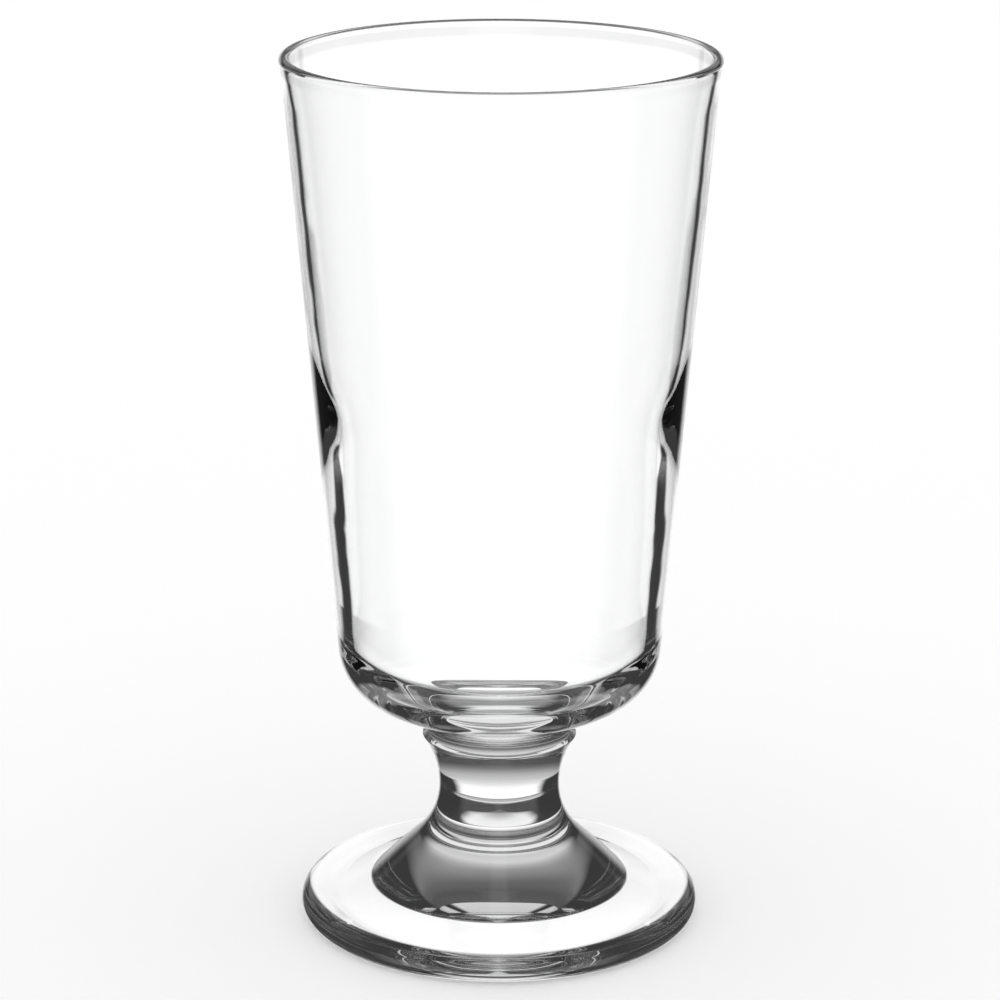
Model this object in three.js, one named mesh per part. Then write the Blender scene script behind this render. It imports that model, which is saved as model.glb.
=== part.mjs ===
// Footed highball glass: a tapered bowl on a short waisted stem and a round foot.
// Millimetres, +Z up. The origin is the centre of the circle that the foot stands on.
// Every piece is turned about the Z axis, and its profile is drawn as points (radius, height).

import * as THREE from "three";

const DEGREE = Math.PI / 180;

// Overall sizes
const HEIGHT = 158.8;
const RIM_RADIUS = 38.5;
const FOOT_RADIUS = 36.4;

// Rim: a rounded bead, a little thicker than the wall's neck below it
const BEAD_THICKNESS = 1.9;
const BEAD_DROP = 3.4;
const BEAD_PROUD = 0.5;
const NECK_WALL = 1.6;

// Bowl wall: a straight taper outside, and a thin upper wall that settles into a thicker lower one inside
const WALL_TAPER = 4.83 * DEGREE;
const UPPER_WALL = 1.95;
const LOWER_WALL = 3.55;
const HEEL_WALL = 3;
const LOWER_WALL_HEIGHT = 22.7;
const SETTLE_HEIGHT = 32;
const SETTLE_TOP_EASE = 12;
const SETTLE_FOOT_EASE = 18;

// Bowl bottom: a rounded hollow inside, a rounded shoulder and a conical underside outside
const FLOOR_THICKNESS = 5;
const HOLLOW_HEIGHT = 14.8;
const HEEL_EASE = 8.5;
const FLOOR_EASE = 11;
const SHOULDER_RADIUS = 11.5;
const UNDERSIDE_SLOPE = 27 * DEGREE;
const NECK_FILLET = 3.5;

// Stem: two flares that meet at the waist, with a lip that stands out round the joint with the bowl
const WAIST_RADIUS = 11;
const LIP_FLARE_RADIUS = 17.5;
const LIP_FLARE_TURN = 34.25 * DEGREE;
const GROOVE_DEPTH = 1.1;
const GROOVE_HEIGHT = 0.2;
const FOOT_FLARE_RADIUS = 13.4;
const STEM_FLARE_TURN = 32 * DEGREE;

// Foot: a round-edged disc with a conical boss on top and a shallow hollow underneath
const EDGE_LOWER_ROUND = 2.5;
const EDGE_UPPER_ROUND = 2.8;
const DISC_RISE = 1.3;
const BOSS_RADIUS = 23.5;
const BOSS_SLOPE = 44.3 * DEGREE;
const BOSS_FILLET = 1.2;
const RESTING_WIDTH = 4.5;
const HOLLOW_DEPTH = 2.6;

// Facets
const TURN_SEGMENTS = 60;
const ROUND_STEPS = 6;
const CURVE_STEPS = 10;

// Points that neighbouring pieces share, from the foot upwards
const discTop = point(BOSS_RADIUS, EDGE_LOWER_ROUND + EDGE_UPPER_ROUND + DISC_RISE);
const flareTurn = Math.PI / 2 - BOSS_SLOPE;
const flareEndRadius = WAIST_RADIUS + FOOT_FLARE_RADIUS * (1 - Math.cos(flareTurn));
const flareEndHeight = discTop.y + (BOSS_RADIUS - flareEndRadius) * Math.tan(BOSS_SLOPE);
const waistHeight = flareEndHeight + FOOT_FLARE_RADIUS * Math.sin(flareTurn);
const footFlareCentre = point(WAIST_RADIUS + FOOT_FLARE_RADIUS, waistHeight);
const footJoint = onCircle(footFlareCentre, FOOT_FLARE_RADIUS, Math.PI + STEM_FLARE_TURN);
const lipFlareCentre = point(WAIST_RADIUS + LIP_FLARE_RADIUS, waistHeight);
const lip = onCircle(lipFlareCentre, LIP_FLARE_RADIUS, Math.PI - LIP_FLARE_TURN);
const bowlJoint = point(lip.x - GROOVE_DEPTH, lip.y + GROOVE_HEIGHT);

function point(radius, height) {
  return new THREE.Vector2(radius, height);
}

function onAxis(height) {
  return point(0, height);
}

function onCircle(centre, radius, angle) {
  return point(centre.x + radius * Math.cos(angle), centre.y + radius * Math.sin(angle));
}

// An arc from one angle to another, turning clockwise where the second is the smaller.
function arc(centre, radius, from, to) {
  const curve = new THREE.EllipseCurve(centre.x, centre.y, radius, radius, from, to, to < from);
  return curve.getPoints(ROUND_STEPS);
}

// A smooth stretch between two points, with the way it leaves the first and reaches the second.
function ease(start, leaving, end, arriving) {
  const curve = new THREE.CubicBezierCurve(start, start.clone().add(leaving), end.clone().sub(arriving), end);
  return curve.getPoints(CURVE_STEPS);
}

// A vector of some length along the way from one point to another.
function along(from, to, length) {
  return to.clone().sub(from).setLength(length);
}

// The corner of a bent line, rounded by an arc that both legs touch.
function roundedCorner(before, corner, after, radius) {
  const back = along(corner, before, 1);
  const ahead = along(corner, after, 1);
  const halfAngle = Math.acos(back.dot(ahead)) / 2;
  const toCentre = back.clone().add(ahead).setLength(radius / Math.sin(halfAngle));
  const centre = corner.clone().add(toCentre);
  const reach = radius / Math.tan(halfAngle);
  const first = corner.clone().addScaledVector(back, reach).sub(centre);
  const last = corner.clone().addScaledVector(ahead, reach).sub(centre);
  const from = first.angle();
  const turn = Math.atan2(first.cross(last), first.dot(last));
  return arc(centre, radius, from, from + turn);
}

// The bowl, from the middle of its joint face up the outside, over the rim and down to the floor.
function bowlProfile() {
  const neck = point(RIM_RADIUS - BEAD_PROUD, HEIGHT - BEAD_DROP);
  const taper = Math.tan(WALL_TAPER);
  const outside = (height) => point(neck.x - (neck.y - height) * taper, height);
  const inside = (height, wall) => outside(height).sub(point(wall, 0));

  const neckFillet = arc(
    point(bowlJoint.x + NECK_FILLET, bowlJoint.y),
    NECK_FILLET,
    Math.PI,
    Math.PI / 2 + UNDERSIDE_SLOPE,
  );
  const underside = neckFillet.at(-1);
  const slope = Math.tan(UNDERSIDE_SLOPE);
  const undersideReach = (outside(underside.y).x - underside.x) / (1 - slope * taper);
  const shoulder = point(underside.x + undersideReach, underside.y + undersideReach * slope);

  const beadRound = BEAD_THICKNESS / 2;
  const bead = arc(point(RIM_RADIUS - beadRound, HEIGHT - beadRound), beadRound, 0, Math.PI);

  const floor = onAxis(bowlJoint.y + FLOOR_THICKNESS);
  const heel = inside(floor.y + HOLLOW_HEIGHT, HEEL_WALL);
  const settleFoot = inside(heel.y + LOWER_WALL_HEIGHT, LOWER_WALL);
  const settleTop = inside(settleFoot.y + SETTLE_HEIGHT, UPPER_WALL);
  const innerNeck = inside(neck.y, NECK_WALL);

  return [
    onAxis(bowlJoint.y),
    ...neckFillet,
    ...roundedCorner(underside, shoulder, neck, SHOULDER_RADIUS),
    neck,
    ...bead,
    innerNeck,
    ...ease(
      settleTop,
      along(innerNeck, settleTop, SETTLE_TOP_EASE),
      settleFoot,
      along(settleFoot, heel, SETTLE_FOOT_EASE),
    ),
    ...ease(heel, along(settleFoot, heel, HEEL_EASE), floor, point(-FLOOR_EASE, 0)),
  ];
}

// The stem, from its joint with the foot up past the waist and the lip to its joint with the bowl.
function stemProfile() {
  return [
    onAxis(footJoint.y),
    ...arc(footFlareCentre, FOOT_FLARE_RADIUS, Math.PI + STEM_FLARE_TURN, Math.PI),
    ...arc(lipFlareCentre, LIP_FLARE_RADIUS, Math.PI, Math.PI - LIP_FLARE_TURN).slice(1),
    bowlJoint,
    onAxis(bowlJoint.y),
  ];
}

// The foot, from the middle of its hollow across the resting ring, round the edge and up the boss.
function footProfile() {
  const restingEdge = FOOT_RADIUS - EDGE_LOWER_ROUND;
  const hollowEdge = restingEdge - RESTING_WIDTH;
  const hollowRadius = (hollowEdge ** 2 + HOLLOW_DEPTH ** 2) / (2 * HOLLOW_DEPTH);
  const hollowTurn = Math.asin(hollowEdge / hollowRadius);
  const hollow = arc(
    onAxis(HOLLOW_DEPTH - hollowRadius),
    hollowRadius,
    Math.PI / 2,
    Math.PI / 2 - hollowTurn,
  );
  const upperRound = arc(
    point(FOOT_RADIUS - EDGE_UPPER_ROUND, EDGE_LOWER_ROUND),
    EDGE_UPPER_ROUND,
    0,
    Math.PI / 2,
  );
  const flareEnd = point(flareEndRadius, flareEndHeight);
  return [
    onAxis(HOLLOW_DEPTH),
    ...hollow.slice(1),
    ...arc(point(restingEdge, EDGE_LOWER_ROUND), EDGE_LOWER_ROUND, -Math.PI / 2, 0),
    ...upperRound.slice(1),
    ...roundedCorner(upperRound.at(-1), discTop, flareEnd, BOSS_FILLET),
    ...arc(footFlareCentre, FOOT_FLARE_RADIUS, Math.PI + flareTurn, Math.PI + STEM_FLARE_TURN),
    onAxis(footJoint.y),
  ];
}

function clearGlass() {
  return new THREE.MeshStandardMaterial({
    color: 0xeef3f1,
    roughness: 0.04,
    metalness: 0,
    transparent: true,
    opacity: 0.35,
  });
}

// A piece turned about the Z axis from its profile.
function turned(name, profile) {
  const geometry = new THREE.LatheGeometry(profile, TURN_SEGMENTS);
  geometry.rotateX(Math.PI / 2);
  const mesh = new THREE.Mesh(geometry, clearGlass());
  mesh.name = name;
  return mesh;
}

const glass = new THREE.Group();
glass.add(turned("bowl", bowlProfile()));
glass.add(turned("stem", stemProfile()));
glass.add(turned("foot", footProfile()));

export default glass;
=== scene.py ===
"""Footed highball glass: its bowl, stem and foot as turned clear glass on a white studio floor."""

import math
from collections import namedtuple

import bpy
from bpy.props import FloatProperty, FloatVectorProperty, IntProperty, PointerProperty
from mathutils import Matrix, Vector
from mathutils.geometry import interpolate_bezier


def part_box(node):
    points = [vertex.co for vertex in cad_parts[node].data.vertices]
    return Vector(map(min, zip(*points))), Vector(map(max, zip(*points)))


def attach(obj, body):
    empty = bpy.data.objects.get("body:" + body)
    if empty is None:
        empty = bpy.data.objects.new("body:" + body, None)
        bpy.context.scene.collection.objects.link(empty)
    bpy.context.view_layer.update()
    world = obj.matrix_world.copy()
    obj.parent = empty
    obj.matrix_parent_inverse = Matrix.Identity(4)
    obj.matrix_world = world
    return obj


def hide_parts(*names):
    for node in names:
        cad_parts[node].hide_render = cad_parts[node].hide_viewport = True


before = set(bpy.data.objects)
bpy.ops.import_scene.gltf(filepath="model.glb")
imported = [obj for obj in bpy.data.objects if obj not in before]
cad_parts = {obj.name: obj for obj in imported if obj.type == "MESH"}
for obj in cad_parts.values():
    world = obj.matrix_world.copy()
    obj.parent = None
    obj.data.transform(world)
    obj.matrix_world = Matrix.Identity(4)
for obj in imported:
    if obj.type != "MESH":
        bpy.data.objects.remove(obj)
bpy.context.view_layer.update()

bl_info = {
    "name": "Footed Highball Glass",
    "version": (1, 0, 0),
    "blender": (4, 5, 0),
    "location": "View3D > Sidebar > Highball",
    "description": "Models a footed highball glass from its bowl, stem and foot and sets it on a white floor",
    "category": "Add Mesh",
}

BODY = "root"
MM = 0.001
DEGREES = 180 / math.pi
WHITE = (1, 1, 1, 1)

# Turned meshes
MERGE_DISTANCE = 0.001 * MM
SMOOTH_ANGLE = math.radians(28)
LEVEL_FACE = 0.999
JOINT_REACH = 0.01 * MM

# Steps in each stretch of a profile
BOWL_STEPS = {
    "neck_fillet": 12,
    "underside": 6,
    "shoulder": 28,
    "outside": 24,
    "bead_side": 4,
    "bead": 16,
    "upper_wall": 12,
    "settle": 56,
    "lower_wall": 8,
    "hollow": 44,
}
STEM_STEPS = {"foot_flare": 20, "lip_flare": 24, "lip": 6, "groove": 3}
FOOT_STEPS = {
    "hollow": 30,
    "resting_ring": 4,
    "lower_edge": 14,
    "upper_edge": 18,
    "disc": 10,
    "boss_fillet": 8,
    "boss": 12,
    "flare": 8,
}

# Camera and stage
IMAGE_WIDTH = 1000
SENSOR_WIDTH = 36.0
CLIP_END = 100.0
LIGHT_BOUNCES = 40
ROUND_SIDES = 96
FLOOR_RADIUS = 6.0
SLEEVE_RADIUS = 48 * MM
SLEEVE_LOW = 51 * MM
SLEEVE_HIGH = 159 * MM
SLEEVE_IOR = 1.001


def length(label, description, millimetres):
    """A length property with its default in millimetres."""
    return FloatProperty(
        name=label,
        description=description,
        default=millimetres * MM,
        min=0.0,
        subtype="DISTANCE",
        unit="LENGTH",
    )


def angle(label, description, degrees):
    """An angle property with its default in degrees."""
    return FloatProperty(
        name=label,
        description=description,
        default=math.radians(degrees),
        subtype="ANGLE",
        unit="ROTATION",
    )


def node_top(node):
    """Height of a node's highest point, in millimetres."""
    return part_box(node)[1].z / MM


def node_radius(node):
    """Radius of a turned node at its widest, in millimetres."""
    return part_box(node)[1].x / MM


class HighballSizes(bpy.types.PropertyGroup):
    """Sizes of the glass."""

    height: length("Height", "Height of the rim above the table", node_top("bowl"))
    rim_radius: length("Rim radius", "Outer radius of the rim's bead", node_radius("bowl"))
    foot_radius: length("Foot radius", "Outer radius of the foot", node_radius("foot"))
    bowl_joint: length("Bowl joint", "Height of the joint between bowl and stem", node_top("stem"))
    foot_joint: length("Foot joint", "Height of the joint between stem and foot", node_top("foot"))

    bead_thickness: length("Bead", "Thickness of the rounded rim", 1.9)
    bead_drop: length("Bead drop", "Height of the bead above the wall's neck", 3.4)
    bead_proud: length("Bead proud", "How far the bead stands out from the wall", 0.5)
    neck_wall: length("Neck wall", "Wall just below the bead", 1.6)
    wall_taper: angle("Wall taper", "Lean of the bowl's outside", 4.83)
    upper_wall: length("Upper wall", "Wall above the step", 1.95)
    lower_wall: length("Lower wall", "Wall at the foot of the step", 3.55)
    heel_wall: length("Heel wall", "Wall where the hollow starts to round in", 3.0)
    lower_wall_height: length("Lower wall height", "Height of the thick lower wall", 22.7)
    settle_height: length("Step height", "Height over which the wall thickens", 32)
    settle_top_ease: length("Step top ease", "How softly the wall starts to thicken", 12)
    settle_foot_ease: length("Step foot ease", "How softly the thick wall is reached", 18)
    floor_thickness: length("Floor", "Glass between the hollow and the joint", 5)
    hollow_height: length("Hollow height", "Height over which the hollow rounds in", 14.8)
    heel_ease: length("Heel ease", "How far the hollow keeps to the wall", 8.5)
    floor_ease: length("Floor ease", "How far the hollow keeps level", 11)
    shoulder_radius: length("Shoulder", "Rounding between wall and underside", 11.5)
    underside_slope: angle("Underside slope", "Slope of the bowl's underside", 27)
    neck_fillet: length("Neck fillet", "Rounding from the joint to the underside", 3.5)

    waist_radius: length("Waist", "Radius of the stem's waist", 11)
    lip_flare: length("Lip flare", "Rounding from waist to lip", 17.5)
    lip_turn: angle("Lip turn", "How far the upper flare turns out", 34.25)
    lip_round: length("Lip round", "Rounding of the lip's edge", 0.08)
    groove_depth: length("Groove depth", "Depth of the groove under the bowl", 1.1)
    foot_flare: length("Foot flare", "Rounding from waist to boss", 13.4)

    edge_lower_round: length("Lower edge", "Rounding under the foot's edge", 2.5)
    edge_upper_round: length("Upper edge", "Rounding over the foot's edge", 2.8)
    disc_rise: length("Disc rise", "Rise of the foot's top towards the boss", 1.3)
    boss_radius: length("Boss radius", "Radius at the foot of the boss", 23.5)
    boss_slope: angle("Boss slope", "Slope of the boss", 44.3)
    boss_fillet: length("Boss fillet", "Rounding at the foot of the boss", 1.2)
    resting_width: length("Resting width", "Width of the ring that the foot stands on", 4.5)
    hollow_depth: length("Foot hollow", "Depth of the hollow under the foot", 2.6)

    segments: IntProperty(name="Segments", description="Faces round the glass", default=256, min=16)


class HighballFinish(bpy.types.PropertyGroup):
    """Finish of the glass."""

    tint: FloatVectorProperty(
        name="Tint",
        description="Colour of the clear glass",
        default=(0.997, 1.0, 0.999),
        min=0,
        max=1,
        subtype="COLOR",
    )
    ior: FloatProperty(name="IOR", description="Refractive index of soda-lime glass", default=1.51, min=1.0)
    ripple_depth: length("Ripple depth", "Depth of the fire-polished surface's faint ripples", 0.03)
    ripple_scale: FloatProperty(name="Ripple scale", description="Ripples per metre", default=90.0, min=0.0)


class HighballStage(bpy.types.PropertyGroup):
    """Camera and studio."""

    azimuth: angle("Azimuth", "Where the camera stands round the glass", 232.5)
    distance: length("Distance", "Level distance from the glass's axis to the camera", 624.8)
    camera_height: length("Camera height", "Height of the camera above the table", 265.2)
    aim_height: length("Aim height", "Height on the axis that the camera looks at", 78.3)
    roll: angle("Roll", "Lean of the camera", 0.15)
    focal_pixels: FloatProperty(name="Focal length", description="In pixels of the picture", default=3643.0)


def point(radius, height):
    """A point of a profile, in the plane where Y is 0."""
    return Vector((radius, 0.0, height))


def arc(centre, radius, start, end, steps):
    """Points of an arc between two angles."""
    turns = [start + (end - start) * i / steps for i in range(steps + 1)]
    return [centre + point(radius * math.cos(t), radius * math.sin(t)) for t in turns]


def ease(start, leaving, end, arriving, steps):
    """Points of a smooth stretch, with the way it leaves its start and reaches its end."""
    return interpolate_bezier(start, start + leaving, end - arriving, end, steps + 1)


def along(start, end, distance):
    """A step of some length on the way from one point to another."""
    return (end - start).normalized() * distance


def straight(start, end, steps):
    """Points of a straight stretch, without its ends."""
    return [start.lerp(end, i / steps) for i in range(1, steps)]


def rounded_corner(before, corner, after, radius, steps):
    """Points of the arc that rounds a corner."""
    back = along(corner, before, 1.0)
    ahead = along(corner, after, 1.0)
    half = back.angle(ahead) / 2
    centre = corner + (back + ahead).normalized() * radius / math.sin(half)
    reach = radius / math.tan(half)
    first = corner + back * reach - centre
    last = corner + ahead * reach - centre
    start = math.atan2(first.z, first.x)
    turn = math.atan2(first.x * last.z - first.z * last.x, first.dot(last))
    return arc(centre, radius, start, start + turn, steps)


def deselect_all():
    """Leaves nothing selected, so that the next operator acts on its own piece alone."""
    if bpy.context.object and bpy.context.object.mode != "OBJECT":
        bpy.ops.object.mode_set(mode="OBJECT")
    bpy.ops.object.select_all(action="DESELECT")


def turn_profile(name, profile, segments):
    """Draws a profile by extruding one vertex and spins it about the glass's axis."""
    deselect_all()
    bpy.ops.mesh.primitive_plane_add(size=MM, location=(0, 0, 0))
    piece = bpy.context.object
    piece.name = name
    piece.data.name = name
    bpy.ops.object.mode_set(mode="EDIT")
    bpy.ops.mesh.merge(type="CENTER")
    bpy.ops.transform.translate(value=profile[0])
    for here, there in zip(profile, profile[1:]):
        bpy.ops.mesh.extrude_region_move(TRANSFORM_OT_translate={"value": there - here})
    bpy.ops.mesh.select_all(action="SELECT")
    bpy.ops.mesh.spin(steps=segments, angle=2 * math.pi, center=(0, 0, 0), axis=(0, 0, 1))
    bpy.ops.mesh.select_all(action="SELECT")
    bpy.ops.mesh.remove_doubles(threshold=MERGE_DISTANCE)
    bpy.ops.mesh.normals_make_consistent(inside=False)
    bpy.ops.object.mode_set(mode="OBJECT")
    bpy.ops.object.shade_smooth_by_angle(angle=SMOOTH_ANGLE)
    return piece


class NodeSketch:
    """Adds nodes to a tree, with plain numbers or other nodes' outputs as their inputs."""

    def __init__(self, tree):
        self.tree = tree

    def add(self, kind, **settings):
        """A new node with some of its settings."""
        node = self.tree.nodes.new(kind)
        for name, value in settings.items():
            setattr(node, name, value)
        return node

    def feed(self, socket, value):
        """Links an output to a socket, or sets the socket to a number."""
        if isinstance(value, bpy.types.NodeSocket):
            self.tree.links.new(value, socket)
        else:
            socket.default_value = value

    def math(self, operation, first, second=0.0):
        """The result of a sum on one or two values."""
        node = self.add("ShaderNodeMath", operation=operation)
        self.feed(node.inputs[0], first)
        self.feed(node.inputs[1], second)
        return node.outputs[0]

    def times(self, first, second):
        """One value dimmed by another."""
        return self.math("MULTIPLY", first, second)

    def brighter(self, first, second):
        """The larger of two values."""
        return self.math("MAXIMUM", first, second)

    def inverse(self, share):
        """What a share leaves of 1."""
        return self.math("SUBTRACT", 1.0, share)

    def fade(self, value, start, end, kind="SMOOTHSTEP"):
        """0 up to the start, 1 from the end on."""
        node = self.add("ShaderNodeMapRange", interpolation_type=kind)
        self.feed(node.inputs["Value"], value)
        self.feed(node.inputs["From Min"], start)
        self.feed(node.inputs["From Max"], end)
        return node.outputs["Result"]

    def blend(self, share, first, second):
        """The first value where the share is 0 and the second where it is 1."""
        node = self.add("ShaderNodeMapRange")
        self.feed(node.inputs["Value"], share)
        self.feed(node.inputs["To Min"], first)
        self.feed(node.inputs["To Max"], second)
        return node.outputs["Result"]

    def bearings(self, direction, azimuth):
        """Degrees that a direction lies off the stage's back, to either side, and degrees that it rises."""
        turned = self.add("ShaderNodeVectorRotate", rotation_type="Z_AXIS")
        self.feed(turned.inputs["Vector"], direction)
        turned.inputs["Angle"].default_value = -azimuth
        parts = self.add("ShaderNodeSeparateXYZ")
        self.feed(parts.inputs[0], turned.outputs[0])
        side = self.math("ABSOLUTE", self.math("ARCTAN2", parts.outputs["X"], parts.outputs["Y"]))
        rise = self.math("ARCSINE", parts.outputs["Z"])
        return self.times(side, DEGREES), self.times(rise, DEGREES)

    def steps(self, rise, stops):
        """A ramp over degrees of elevation, from -90 to 90."""
        node = self.add("ShaderNodeValToRGB")
        self.feed(node.inputs["Fac"], self.fade(rise, -90, 90, kind="LINEAR"))
        elements = node.color_ramp.elements
        elements.remove(elements[1])
        for index, (degrees, level) in enumerate(stops):
            place = (degrees + 90) / 180
            element = elements[0] if index == 0 else elements.new(place)
            element.position = place
            element.color = (level, level, level, 1)
        return node.outputs["Color"]

    def widths(self, rise, stops):
        """A half width in degrees, up to 90, that changes with elevation."""
        return self.times(self.steps(rise, [(place, width / 90) for place, width in stops]), 90)

    def past(self, side, width, softness):
        """0 inside a half width and 1 outside it, with a soft edge."""
        return self.fade(self.math("SUBTRACT", side, width), -softness, softness)


def new_material(name):
    """An empty node material with its output."""
    material = bpy.data.materials.new(name)
    material.use_nodes = True
    tree = material.node_tree
    tree.nodes.clear()
    output = tree.nodes.new("ShaderNodeOutputMaterial")
    return material, tree, output


def clear_glass(name):
    """Fire-polished clear glass."""
    finish = bpy.context.scene.highball_finish
    material, tree, output = new_material(name)
    shader = tree.nodes.new("ShaderNodeBsdfPrincipled")
    shader.inputs["Base Color"].default_value = (*finish.tint, 1)
    shader.inputs["Roughness"].default_value = 0.0
    shader.inputs["IOR"].default_value = finish.ior
    shader.inputs["Transmission Weight"].default_value = 1.0
    sketch = NodeSketch(tree)
    coordinates = sketch.add("ShaderNodeTexCoord").outputs["Object"]
    ripples = sketch.add("ShaderNodeTexNoise")
    sketch.feed(ripples.inputs["Vector"], coordinates)
    ripples.inputs["Scale"].default_value = finish.ripple_scale
    ripples.inputs["Detail"].default_value = 1.0
    bump = sketch.add("ShaderNodeBump")
    bump.inputs["Strength"].default_value = 1.0
    bump.inputs["Distance"].default_value = finish.ripple_depth
    sketch.feed(bump.inputs["Height"], ripples.outputs["Fac"])
    sketch.feed(shader.inputs["Normal"], bump.outputs["Normal"])
    tree.links.new(shader.outputs["BSDF"], output.inputs["Surface"])
    return material


def fused_joint(name):
    """The face inside the glass where two pieces are fused, which light passes unbent."""
    material, tree, output = new_material(name)
    shader = tree.nodes.new("ShaderNodeBsdfPrincipled")
    shader.inputs["Alpha"].default_value = 0.0
    tree.links.new(shader.outputs["BSDF"], output.inputs["Surface"])
    return material


def finish_piece(piece, node, joints):
    """Gives a piece its glass, with the fused joint on the level faces at the joints' heights."""
    piece.data.materials.append(clear_glass(node + "_glass"))
    piece.data.materials.append(fused_joint(node + "_fused_joint"))
    for face in piece.data.polygons:
        level = abs(face.normal.z) > LEVEL_FACE
        if level and any(abs(face.center.z - height) < JOINT_REACH for height in joints):
            face.material_index = 1
    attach(piece, BODY)
    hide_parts(node)


SharedPoints = namedtuple(
    "SharedPoints",
    ["disc_top", "flare_end", "flare_turn", "foot_centre", "lip_centre", "lip", "joint", "stem_turn"],
)


def shared_points(sizes):
    """What the pieces share: flare centres, lip, joint with the bowl, and the foot flare's end and turns."""
    disc_top = point(sizes.boss_radius, sizes.edge_lower_round + sizes.edge_upper_round + sizes.disc_rise)
    flare_turn = math.pi / 2 - sizes.boss_slope
    end_radius = sizes.waist_radius + sizes.foot_flare * (1 - math.cos(flare_turn))
    end_height = disc_top.z + (sizes.boss_radius - end_radius) * math.tan(sizes.boss_slope)
    waist_height = end_height + sizes.foot_flare * math.sin(flare_turn)
    lip_centre = point(sizes.waist_radius + sizes.lip_flare, waist_height)
    lip_reach = point(-sizes.lip_flare * math.cos(sizes.lip_turn), sizes.lip_flare * math.sin(sizes.lip_turn))
    lip = lip_centre + lip_reach
    return SharedPoints(
        disc_top=disc_top,
        flare_end=point(end_radius, end_height),
        flare_turn=flare_turn,
        foot_centre=point(sizes.waist_radius + sizes.foot_flare, waist_height),
        lip_centre=lip_centre,
        lip=lip,
        joint=point(lip.x - sizes.groove_depth, sizes.bowl_joint),
        stem_turn=math.asin((waist_height - sizes.foot_joint) / sizes.foot_flare),
    )


class HIGHBALL_OT_bowl(bpy.types.Operator):
    """Turn the bowl"""

    bl_idname = "highball.bowl"
    bl_label = "Bowl"

    def execute(self, context):
        sizes = context.scene.highball_sizes
        steps = BOWL_STEPS
        joint = shared_points(sizes).joint
        taper = math.tan(sizes.wall_taper)
        neck = point(sizes.rim_radius - sizes.bead_proud, sizes.height - sizes.bead_drop)

        def outside(height, wall=0.0):
            return point(neck.x - (neck.z - height) * taper - wall, height)

        fillet = arc(
            joint + point(sizes.neck_fillet, 0),
            sizes.neck_fillet,
            math.pi,
            math.pi / 2 + sizes.underside_slope,
            steps["neck_fillet"],
        )
        underside = fillet[-1]
        slope = math.tan(sizes.underside_slope)
        reach = (outside(underside.z).x - underside.x) / (1 - slope * taper)
        shoulder = underside + point(reach, reach * slope)
        rounded = rounded_corner(underside, shoulder, neck, sizes.shoulder_radius, steps["shoulder"])

        bead_round = sizes.bead_thickness / 2
        bead_centre = point(sizes.rim_radius - bead_round, sizes.height - bead_round)
        bead = arc(bead_centre, bead_round, 0, math.pi, steps["bead"])
        floor = point(0, joint.z + sizes.floor_thickness)
        heel = outside(floor.z + sizes.hollow_height, sizes.heel_wall)
        settle_foot = outside(heel.z + sizes.lower_wall_height, sizes.lower_wall)
        settle_top = outside(settle_foot.z + sizes.settle_height, sizes.upper_wall)
        inner_neck = outside(neck.z, sizes.neck_wall)
        settle = ease(
            settle_top,
            along(inner_neck, settle_top, sizes.settle_top_ease),
            settle_foot,
            along(settle_foot, heel, sizes.settle_foot_ease),
            steps["settle"],
        )
        hollow = ease(
            heel,
            along(settle_foot, heel, sizes.heel_ease),
            floor,
            point(-sizes.floor_ease, 0),
            steps["hollow"],
        )

        profile = [
            point(0, joint.z),
            *fillet,
            *straight(underside, rounded[0], steps["underside"]),
            *rounded,
            *straight(rounded[-1], neck, steps["outside"]),
            neck,
            *straight(neck, bead[0], steps["bead_side"]),
            *bead,
            *straight(bead[-1], inner_neck, steps["bead_side"]),
            inner_neck,
            *straight(inner_neck, settle_top, steps["upper_wall"]),
            *settle,
            *straight(settle_foot, heel, steps["lower_wall"]),
            *hollow,
        ]
        piece = turn_profile("bowl_glass", profile, sizes.segments)
        finish_piece(piece, "bowl", [joint.z])
        return {"FINISHED"}


class HIGHBALL_OT_stem(bpy.types.Operator):
    """Turn the stem"""

    bl_idname = "highball.stem"
    bl_label = "Stem"

    def execute(self, context):
        sizes = context.scene.highball_sizes
        steps = STEM_STEPS
        shared = shared_points(sizes)
        joint = shared.joint
        foot_start = math.pi + shared.stem_turn
        lower = arc(shared.foot_centre, sizes.foot_flare, foot_start, math.pi, steps["foot_flare"])
        lip_end = math.pi - sizes.lip_turn
        upper = arc(shared.lip_centre, sizes.lip_flare, math.pi, lip_end, steps["lip_flare"])
        lip = rounded_corner(upper[-2], shared.lip, joint, sizes.lip_round, steps["lip"])
        profile = [
            point(0, sizes.foot_joint),
            *lower,
            *upper[1:-1],
            *lip,
            *straight(lip[-1], joint, steps["groove"]),
            joint,
            point(0, joint.z),
        ]
        piece = turn_profile("stem_glass", profile, sizes.segments)
        finish_piece(piece, "stem", [sizes.foot_joint, joint.z])
        return {"FINISHED"}


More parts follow.
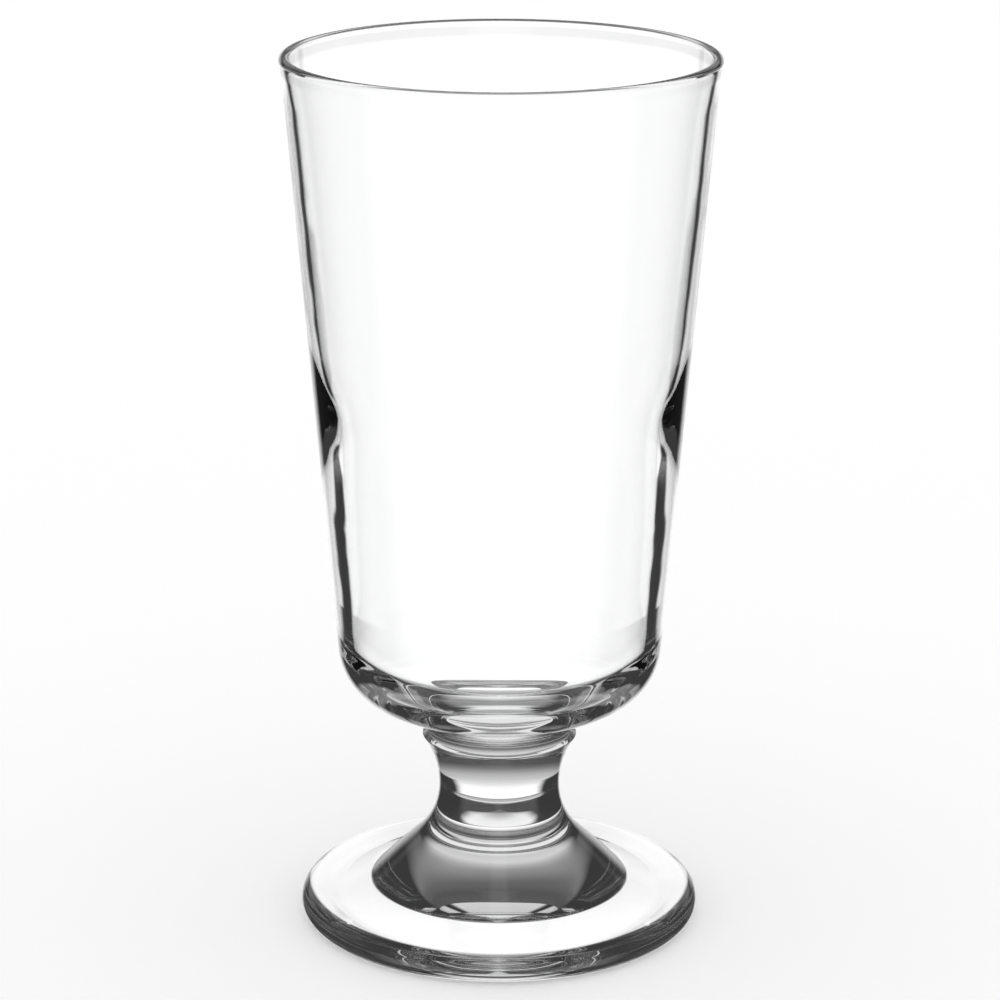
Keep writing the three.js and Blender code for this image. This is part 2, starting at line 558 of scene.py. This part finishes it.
class HIGHBALL_OT_foot(bpy.types.Operator):
    """Turn the foot"""

    bl_idname = "highball.foot"
    bl_label = "Foot"

    def execute(self, context):
        sizes = context.scene.highball_sizes
        steps = FOOT_STEPS
        shared = shared_points(sizes)
        upright = math.pi / 2

        resting_edge = sizes.foot_radius - sizes.edge_lower_round
        hollow_edge = resting_edge - sizes.resting_width
        hollow_radius = (hollow_edge**2 + sizes.hollow_depth**2) / (2 * sizes.hollow_depth)
        hollow_centre = point(0, sizes.hollow_depth - hollow_radius)
        hollow_end = upright - math.asin(hollow_edge / hollow_radius)
        hollow = arc(hollow_centre, hollow_radius, upright, hollow_end, steps["hollow"])

        lower_centre = point(resting_edge, sizes.edge_lower_round)
        lower = arc(lower_centre, sizes.edge_lower_round, -upright, 0, steps["lower_edge"])
        upper_centre = point(sizes.foot_radius - sizes.edge_upper_round, sizes.edge_lower_round)
        upper = arc(upper_centre, sizes.edge_upper_round, 0, upright, steps["upper_edge"])

        corner = rounded_corner(
            upper[-1], shared.disc_top, shared.flare_end, sizes.boss_fillet, steps["boss_fillet"]
        )
        flare_start = math.pi + shared.flare_turn
        flare_end = math.pi + shared.stem_turn
        flare = arc(shared.foot_centre, sizes.foot_flare, flare_start, flare_end, steps["flare"])
        profile = [
            point(0, sizes.hollow_depth),
            *hollow[1:],
            *straight(hollow[-1], lower[0], steps["resting_ring"]),
            *lower,
            *upper[1:],
            *straight(upper[-1], corner[0], steps["disc"]),
            *corner,
            *straight(corner[-1], flare[0], steps["boss"]),
            *flare,
            point(0, sizes.foot_joint),
        ]
        piece = turn_profile("foot_glass", profile, sizes.segments)
        finish_piece(piece, "foot", [sizes.foot_joint])
        return {"FINISHED"}


def place_camera(stage):
    """The camera at the photograph's distance, height and angle."""
    data = bpy.data.cameras.new("camera")
    camera = bpy.data.objects.new("camera", data)
    bpy.context.scene.collection.objects.link(camera)
    round_axis = Matrix.Rotation(stage.azimuth, 4, "Z")
    place = round_axis @ Vector((0, -stage.distance, stage.camera_height))
    look = Vector((0, 0, stage.aim_height)) - place
    turn = look.to_track_quat("-Z", "Y").to_matrix().to_4x4()
    camera.matrix_world = Matrix.Translation(place) @ turn @ Matrix.Rotation(stage.roll, 4, "Z")
    data.sensor_width = SENSOR_WIDTH
    data.lens = SENSOR_WIDTH * stage.focal_pixels / IMAGE_WIDTH
    data.clip_end = CLIP_END
    bpy.context.scene.camera = camera


# The studio round the glass. WIDTHS are half widths in degrees and LEVELS are brightnesses, each at some
# degrees of elevation. SIDES are the degrees off the stage's back between which a light comes in or goes out.
PANEL_SOFTNESS = 6.5

# Straight through the foot and stem, through one wall of the bowl and through both
STRAIGHT_FOOT_WIDTHS = [
    (-60, 80), (-37, 75), (-33, 48), (-30, 36), (-20, 34), (-12, 36), (-6, 70), (-2, 90),
]
STRAIGHT_FOOT_LEVELS = [
    (-24, 1), (-17, 0.9), (-12, 0.68), (-8, 0.52), (-3, 0.42), (0, 0.32), (4, 0.2), (8, 0.13), (12, 0.08),
]
ONE_WALL_WIDTHS = [(0, 45)]
ONE_WALL_LEVELS = [(-35, 0.13), (-27, 1), (-8, 1), (-3, 0.7), (4, 0.4), (15, 0.1)]
TWO_WALLS_WIDTHS = [(0, 48)]
TWO_WALLS_LEVELS = [(-70, 0.3), (-46, 0.4), (-41, 1), (-6, 1), (0, 0.8), (10, 0.2)]
FRONT_LEVELS = [(-75, 0), (-60, 1), (2, 1), (12, 0)]
FRONT_SIDES = (92, 108)

# After one reflection inside the foot and stem, the bowl's wall and its base
TURNED_FOOT_WIDTHS = [
    (-60, 14), (-50, 27), (-44, 27), (-40, 20), (-24, 14), (-18, 26), (-15, 33), (-12, 22),
    (-8, 13), (0, 13), (5, 17), (10, 25), (15, 27), (21, 30), (30, 50), (45, 60),
]
TURNED_FOOT_LEVELS = [
    (-62, 0.12), (-57, 0.35), (-52, 0.75), (-45, 0.85), (-42, 0.45), (-38, 0.18), (-31, 0.12),
    (-26, 0.3), (-21, 0.65), (-17, 0.95), (-10, 0.8), (0, 0.85), (4, 0.68), (10, 0.55),
    (16, 0.6), (20, 0.27), (25, 0.12), (31, 0.08), (40, 0.09), (50, 0.2), (60, 0.3),
]
TURNED_WALL_LEVELS = [
    (-60, 0.6), (-48, 1), (-4, 1), (0, 0.7), (10, 0.2), (30, 0.3), (40, 0.6), (60, 0.5),
]
TURNED_WALL_SIDES = (75, 100)
STRIPE_INNER_WIDTHS = [(-31, 35), (-29, 28), (-27, 26), (-22, 30), (-18, 33), (-16, 28), (-13, 27)]
STRIPE_INNER_SOFTNESS = 3.0
STRIPE_OUTER_WIDTHS = [(-31, 35), (-28, 36), (-24, 45), (-18.5, 49), (-17, 46), (-16, 37), (-13, 35)]
STRIPE_OUTER_SOFTNESS = 2.5
TURNED_BASE_WIDTHS = [(-60, 10), (-50, 20), (-40, 16), (-33, 12), (-25, 15), (-15, 25)]
TURNED_BASE_LEVELS = [
    (-60, 0.85), (-56, 0.55), (-52, 0.22), (-44, 0.25), (-39, 0.7), (-33, 0.9), (-10, 0.95),
]
BASE_TABLE_LEVELS = [(-46, 0), (-40, 1), (-30, 1), (-26, 0.25), (0, 0.25), (8, 0)]
BASE_TABLE_SIDES = (70, 80)

# After several reflections inside
SCATTERED_WIDTHS = [(-30, 38), (-20, 26)]
SCATTERED_LEVELS = [
    (-26, 0.75), (-21, 0.2), (-8, 0.15), (0, 0.4), (5, 0.4),
    (10, 0.15), (22, 0.2), (29, 0.65), (38, 0.55), (46, 0.2),
]

# Mirrored by the outside
MIRRORED_PANEL_WIDTHS = [(0, 24)]
MIRRORED_PANEL_LEVELS = [(-60, 1), (4, 0.9), (10, 0.1)]
MIRRORED_TABLE_LEVELS = [(-45, 0), (-37, 0.9), (-8, 0.9), (0, 0)]
MIRRORED_TABLE_SIDES = (95, 115)
CEILING_LEVELS = [(8, 0), (14, 0.6), (44, 0.6), (52, 0)]
CEILING_SIDES = (25, 45)

# The room behind the camera, and the darkest that any side of the studio gets
ROOM_LEVELS = [(-10, 0.05), (8, 0.45), (50, 0.5)]
ROOM_SIDES = (156, 170)
DARKEST = 0.035

# Plain white is 1. Through both walls, four faces mirror about a seventh of the studio's light away.
PLAIN_STRENGTH = 1.0
STUDIO_STRENGTH = 1.15


def soft_panel(sketch, side, rise, widths, levels):
    """A lit panel behind the glass, with its half width and its level given at some elevations."""
    past_edge = sketch.past(side, sketch.widths(rise, widths), PANEL_SOFTNESS)
    return sketch.times(sketch.inverse(past_edge), sketch.steps(rise, levels))


def straight_light(sketch, side, rise, two_walls, by_bowl):
    """What shows straight through the glass: through the foot and stem, one wall of the bowl, or both."""
    foot = soft_panel(sketch, side, rise, STRAIGHT_FOOT_WIDTHS, STRAIGHT_FOOT_LEVELS)
    one_wall = soft_panel(sketch, side, rise, ONE_WALL_WIDTHS, ONE_WALL_LEVELS)
    both_walls = soft_panel(sketch, side, rise, TWO_WALLS_WIDTHS, TWO_WALLS_LEVELS)
    behind = sketch.blend(two_walls, sketch.blend(by_bowl, foot, one_wall), both_walls)
    front = sketch.times(sketch.steps(rise, FRONT_LEVELS), sketch.fade(side, *FRONT_SIDES))
    return sketch.brighter(behind, front)


def turned_light(sketch, side, rise, two_walls, by_bowl):
    """What shows after one reflection inside the glass: in the foot and stem, the bowl's wall or its base."""
    foot = soft_panel(sketch, side, rise, TURNED_FOOT_WIDTHS, TURNED_FOOT_LEVELS)
    inner = sketch.past(side, sketch.widths(rise, STRIPE_INNER_WIDTHS), STRIPE_INNER_SOFTNESS)
    outer = sketch.past(side, sketch.widths(rise, STRIPE_OUTER_WIDTHS), STRIPE_OUTER_SOFTNESS)
    dark_stripe = sketch.times(inner, sketch.inverse(outer))
    wall = sketch.times(sketch.steps(rise, TURNED_WALL_LEVELS), sketch.inverse(dark_stripe))
    wall = sketch.times(wall, sketch.inverse(sketch.fade(side, *TURNED_WALL_SIDES)))
    base = soft_panel(sketch, side, rise, TURNED_BASE_WIDTHS, TURNED_BASE_LEVELS)
    table = sketch.times(sketch.steps(rise, BASE_TABLE_LEVELS), sketch.fade(side, *BASE_TABLE_SIDES))
    base = sketch.brighter(base, table)
    return sketch.blend(two_walls, sketch.blend(by_bowl, foot, wall), base)


def scattered_light(sketch, side, rise):
    """What shows after several reflections inside the glass."""
    return soft_panel(sketch, side, rise, SCATTERED_WIDTHS, SCATTERED_LEVELS)


def mirrored_light(sketch, side, rise):
    """What the outside of the glass mirrors."""
    panel = soft_panel(sketch, side, rise, MIRRORED_PANEL_WIDTHS, MIRRORED_PANEL_LEVELS)
    table = sketch.times(sketch.steps(rise, MIRRORED_TABLE_LEVELS), sketch.fade(side, *MIRRORED_TABLE_SIDES))
    past_ceiling = sketch.fade(side, *CEILING_SIDES)
    ceiling = sketch.times(sketch.steps(rise, CEILING_LEVELS), sketch.inverse(past_ceiling))
    return sketch.brighter(panel, sketch.brighter(table, ceiling))


def studio_light(sketch, path, azimuth):
    """What the glass shows in each direction, by how often its light was refracted and reflected."""
    direction = sketch.add("ShaderNodeTexCoord").outputs["Generated"]
    side, rise = sketch.bearings(direction, azimuth)
    reflections = path.outputs["Glossy Depth"]
    refractions = path.outputs["Transmission Depth"]
    turned = sketch.math("GREATER_THAN", reflections, 0.5)
    turned_often = sketch.math("GREATER_THAN", reflections, 1.5)
    two_walls = sketch.math("GREATER_THAN", refractions, 3.5)
    outside = sketch.math("LESS_THAN", refractions, 0.5)
    # Glass refracts light on its way in and out, so that only the bowl's sleeve makes the count odd.
    by_bowl = sketch.math("MODULO", refractions, 2.0)

    straight_on = straight_light(sketch, side, rise, two_walls, by_bowl)
    turned_once = turned_light(sketch, side, rise, two_walls, by_bowl)
    inner = sketch.blend(turned_often, turned_once, scattered_light(sketch, side, rise))
    inner = sketch.blend(turned, straight_on, inner)
    seen = sketch.blend(outside, inner, mirrored_light(sketch, side, rise))
    room = sketch.times(sketch.steps(rise, ROOM_LEVELS), sketch.fade(side, *ROOM_SIDES))
    return sketch.brighter(seen, sketch.brighter(room, DARKEST))


def build_world(stage):
    """Plain white for the floor and the background, and the studio for rays that come from the glass."""
    world = bpy.data.worlds.new("studio")
    bpy.context.scene.world = world
    world.use_nodes = True
    world.node_tree.nodes.clear()
    sketch = NodeSketch(world.node_tree)
    path = sketch.add("ShaderNodeLightPath")
    glass_ray = sketch.brighter(path.outputs["Is Glossy Ray"], path.outputs["Is Transmission Ray"])
    before_floor = sketch.math("LESS_THAN", path.outputs["Diffuse Depth"], 0.5)
    plain = sketch.add("ShaderNodeBackground")
    plain.inputs["Color"].default_value = WHITE
    plain.inputs["Strength"].default_value = PLAIN_STRENGTH
    studio = sketch.add("ShaderNodeBackground")
    sketch.feed(studio.inputs["Color"], studio_light(sketch, path, stage.azimuth))
    studio.inputs["Strength"].default_value = STUDIO_STRENGTH
    mixed = sketch.add("ShaderNodeMixShader")
    sketch.feed(mixed.inputs["Fac"], sketch.times(glass_ray, before_floor))
    sketch.feed(mixed.inputs[1], plain.outputs[0])
    sketch.feed(mixed.inputs[2], studio.outputs[0])
    output = sketch.add("ShaderNodeOutputWorld")
    sketch.feed(output.inputs["Surface"], mixed.outputs[0])


def white_floor():
    """A white floor, which the glass stands on and doesn't show."""
    deselect_all()
    bpy.ops.mesh.primitive_circle_add(
        vertices=ROUND_SIDES, radius=FLOOR_RADIUS, fill_type="NGON", location=(0, 0, 0)
    )
    floor = bpy.context.object
    floor.name = "floor"
    material, tree, output = new_material("white_floor")
    shader = tree.nodes.new("ShaderNodeBsdfDiffuse")
    shader.inputs["Color"].default_value = WHITE
    tree.links.new(shader.outputs["BSDF"], output.inputs["Surface"])
    floor.data.materials.append(material)
    floor.visible_glossy = False
    floor.visible_transmission = False


def bowl_sleeve():
    """A clear sleeve round the bowl, by which the studio tells light through the bowl from the rest."""
    deselect_all()
    bpy.ops.mesh.primitive_cylinder_add(
        vertices=ROUND_SIDES,
        radius=SLEEVE_RADIUS,
        depth=SLEEVE_HIGH - SLEEVE_LOW,
        end_fill_type="NOTHING",
        location=(0, 0, (SLEEVE_LOW + SLEEVE_HIGH) / 2),
    )
    sleeve = bpy.context.object
    sleeve.name = "bowl_sleeve"
    material, tree, output = new_material("clear_sleeve")
    clear = tree.nodes.new("ShaderNodeBsdfRefraction")
    clear.inputs["Roughness"].default_value = 0.0
    clear.inputs["IOR"].default_value = SLEEVE_IOR
    tree.links.new(clear.outputs["BSDF"], output.inputs["Surface"])
    sleeve.data.materials.append(material)
    sleeve.visible_camera = False
    sleeve.visible_diffuse = False
    sleeve.visible_glossy = False
    sleeve.visible_shadow = False


class HIGHBALL_OT_stage(bpy.types.Operator):
    """Set the floor, the light and the camera"""

    bl_idname = "highball.stage"
    bl_label = "Stage"

    def execute(self, context):
        stage = context.scene.highball_stage
        white_floor()
        bowl_sleeve()
        build_world(stage)
        place_camera(stage)
        scene = context.scene
        scene.view_settings.view_transform = "Standard"
        scene.cycles.max_bounces = LIGHT_BOUNCES
        scene.cycles.transmission_bounces = LIGHT_BOUNCES
        scene.cycles.glossy_bounces = LIGHT_BOUNCES
        scene.cycles.transparent_max_bounces = LIGHT_BOUNCES
        return {"FINISHED"}


class HIGHBALL_PT_panel(bpy.types.Panel):
    """Lists the glass's pieces and its stage"""

    bl_idname = "HIGHBALL_PT_panel"
    bl_label = "Footed Highball Glass"
    bl_space_type = "VIEW_3D"
    bl_region_type = "UI"
    bl_category = "Highball"

    def draw(self, context):
        for operator in PIECES:
            self.layout.operator(operator.bl_idname)


PIECES = (HIGHBALL_OT_bowl, HIGHBALL_OT_stem, HIGHBALL_OT_foot, HIGHBALL_OT_stage)
CLASSES = (HighballSizes, HighballFinish, HighballStage, *PIECES, HIGHBALL_PT_panel)


def register():
    for cls in CLASSES:
        bpy.utils.register_class(cls)
    bpy.types.Scene.highball_sizes = PointerProperty(type=HighballSizes)
    bpy.types.Scene.highball_finish = PointerProperty(type=HighballFinish)
    bpy.types.Scene.highball_stage = PointerProperty(type=HighballStage)


def unregister():
    del bpy.types.Scene.highball_stage
    del bpy.types.Scene.highball_finish
    del bpy.types.Scene.highball_sizes
    for cls in reversed(CLASSES):
        bpy.utils.unregister_class(cls)


def main():
    register()
    bpy.ops.highball.bowl()
    bpy.ops.highball.stem()
    bpy.ops.highball.foot()
    bpy.ops.highball.stage()


if __name__ == "__main__":
    main()
